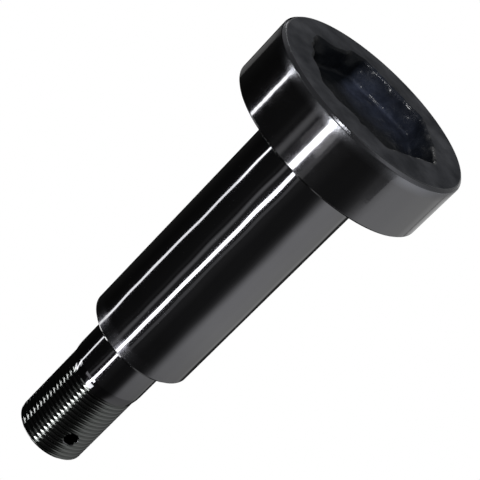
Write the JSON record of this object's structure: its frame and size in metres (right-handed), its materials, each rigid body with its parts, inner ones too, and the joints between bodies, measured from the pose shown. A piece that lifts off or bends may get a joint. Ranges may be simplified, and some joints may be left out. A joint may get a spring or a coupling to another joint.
{
  "type": "trailer suspension pin",
  "caption": "Headed steel pin for a trailer's suspension: round head with a hexagonal key socket, ground journal, plain shank and a threaded end with a split-pin hole.",
  "frame": {"origin": "centre of the head's flat outer face, which the pin stands on", "axes": "+Z along the pin's axis from the head to the threaded end, Y along the split-pin hole, X square to both"},
  "size_m": [0.117, 0.117, 0.267],
  "materials": {
    "blackened_steel": "glossy black oxide on turned and ground steel, duller in the forged socket"
  },
  "bodies": {
    "root": {"suspension_pin": "blackened_steel"}
  },
  "joints": []
}
